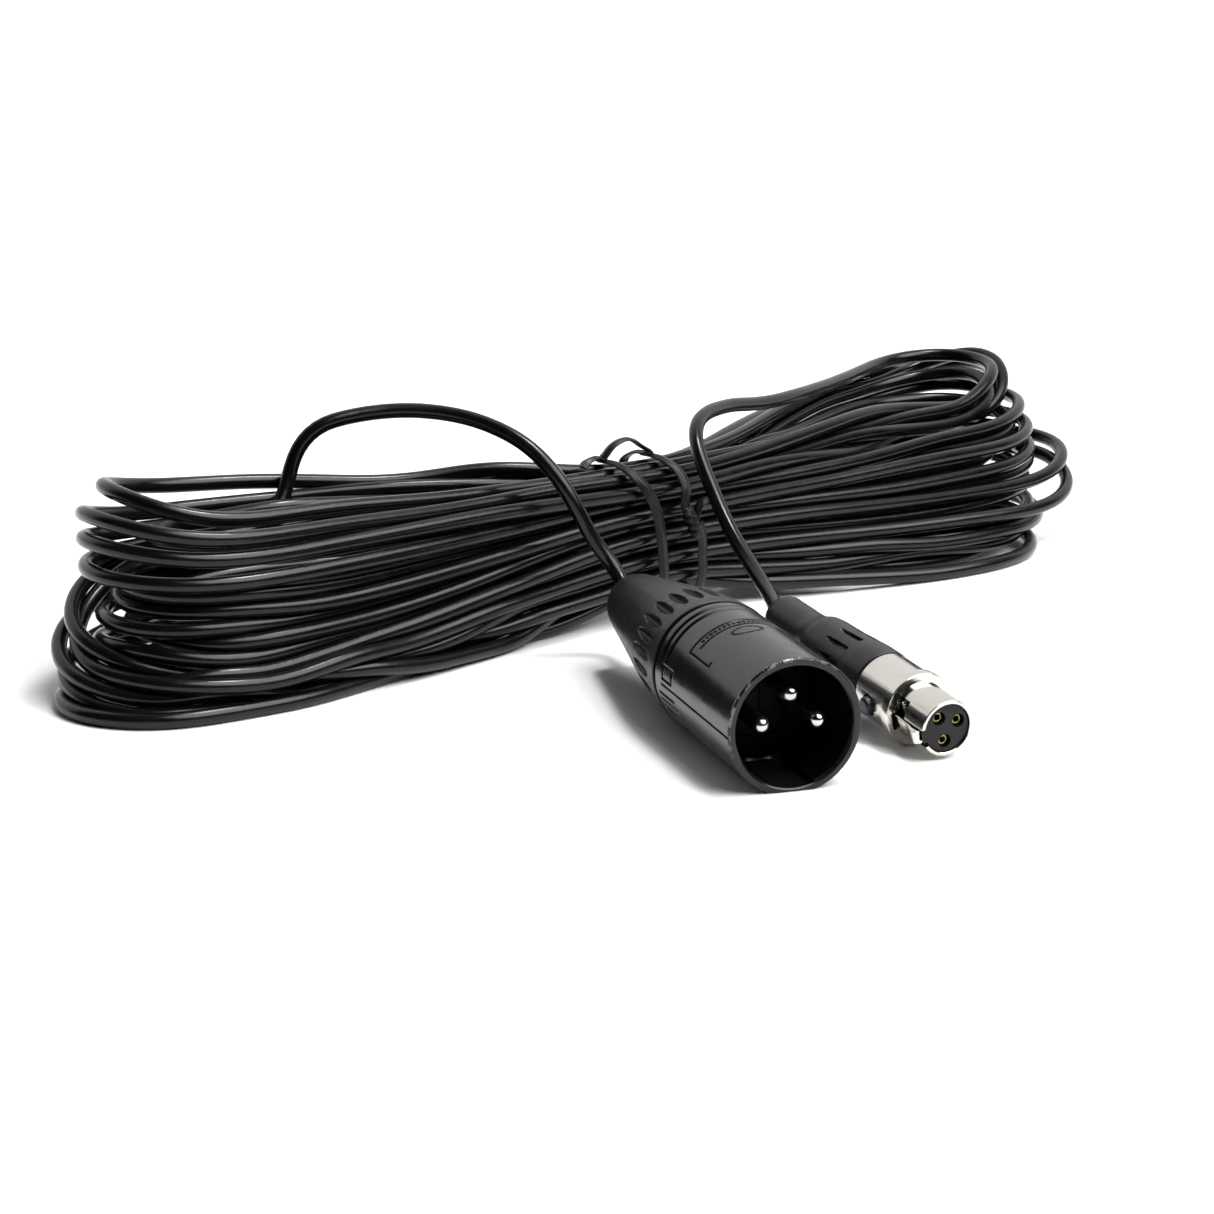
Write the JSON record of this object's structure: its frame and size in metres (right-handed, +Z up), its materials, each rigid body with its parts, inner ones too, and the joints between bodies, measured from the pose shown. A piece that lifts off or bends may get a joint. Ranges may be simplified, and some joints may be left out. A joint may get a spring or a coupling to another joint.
{
  "type": "xlr cable coil",
  "caption": "Thin black audio cable in a long tied hank, with a full-size three-pin male plug on one end and a miniature three-socket locking plug on the other.",
  "frame": {"origin": "middle of the base of the whole set, on the surface it lies on", "axes": "+X along the longest extent, towards the hank end behind the miniature plug; the large plug mates towards -Y; +Z up"},
  "size_m": [0.1992, 0.1552, 0.0374],
  "materials": {
    "black_shell": "black satin plated die casting, worn bright at the rim",
    "black_plastic": "moulded black plastic",
    "white_plastic": "natural white plastic",
    "boot": "matt black soft moulding",
    "silver": "bright silver plate",
    "nickel": "satin nickel plate",
    "gold": "gold plated contact",
    "grey_plastic": "dark grey moulded button",
    "jacket": "satin black flexible jacket",
    "tie": "flat black plastic-covered wire tie",
    "core_red": "red insulation",
    "copper": "bare copper drain wire"
  },
  "bodies": {
    "cable": {"xlr_shell": "black_shell", "xlr_insert": "black_plastic", "xlr_pin_1": "silver", "xlr_pin_2": "silver", "xlr_pin_3": "silver", "xlr_ground_tab": "silver", "xlr_chuck": "white_plastic", "xlr_boot": "boot", "xlr_core_white": "white_plastic", "xlr_core_red": "core_red", "xlr_core_drain": "copper", "mini_shell": "nickel", "mini_insert": "black_plastic", "mini_socket_1": "gold", "mini_socket_2": "gold", "mini_socket_3": "gold", "mini_spring": "silver", "mini_clamp": "nickel", "mini_boot": "boot", "mini_core_white": "white_plastic", "mini_core_red": "core_red", "mini_core_drain": "copper", "hank": "jacket", "tie_wrap_left": "tie", "tie_wrap_right": "tie", "tie_bridge": "tie", "tie_twist": "tie", "xlr_lead": "jacket", "mini_lead": "jacket"},
    "latch": {"mini_latch": "nickel"},
    "button": {"mini_button": "grey_plastic"}
  },
  "joints": [
    {"name": "latch_flex", "type": "hinge", "parent": "cable", "child": "latch", "pos_m": [0.01074, -0.05351, 0.00551], "axis": [-0.2809, -0.1225, 0.9519], "range_deg": [0, 2.35], "stiffness_Nm_per_rad": 0.05, "springref_deg": -1.15},
    {"name": "button_press", "type": "slide", "parent": "cable", "child": "button", "axis": [0.9809, 0.089, 0.1728], "range_m": [0, 0.0005]}
  ],
  "couplings": [
    {"joint": "button_press", "follows": "latch_flex", "m_per_rad": 0.0121}
  ]
}
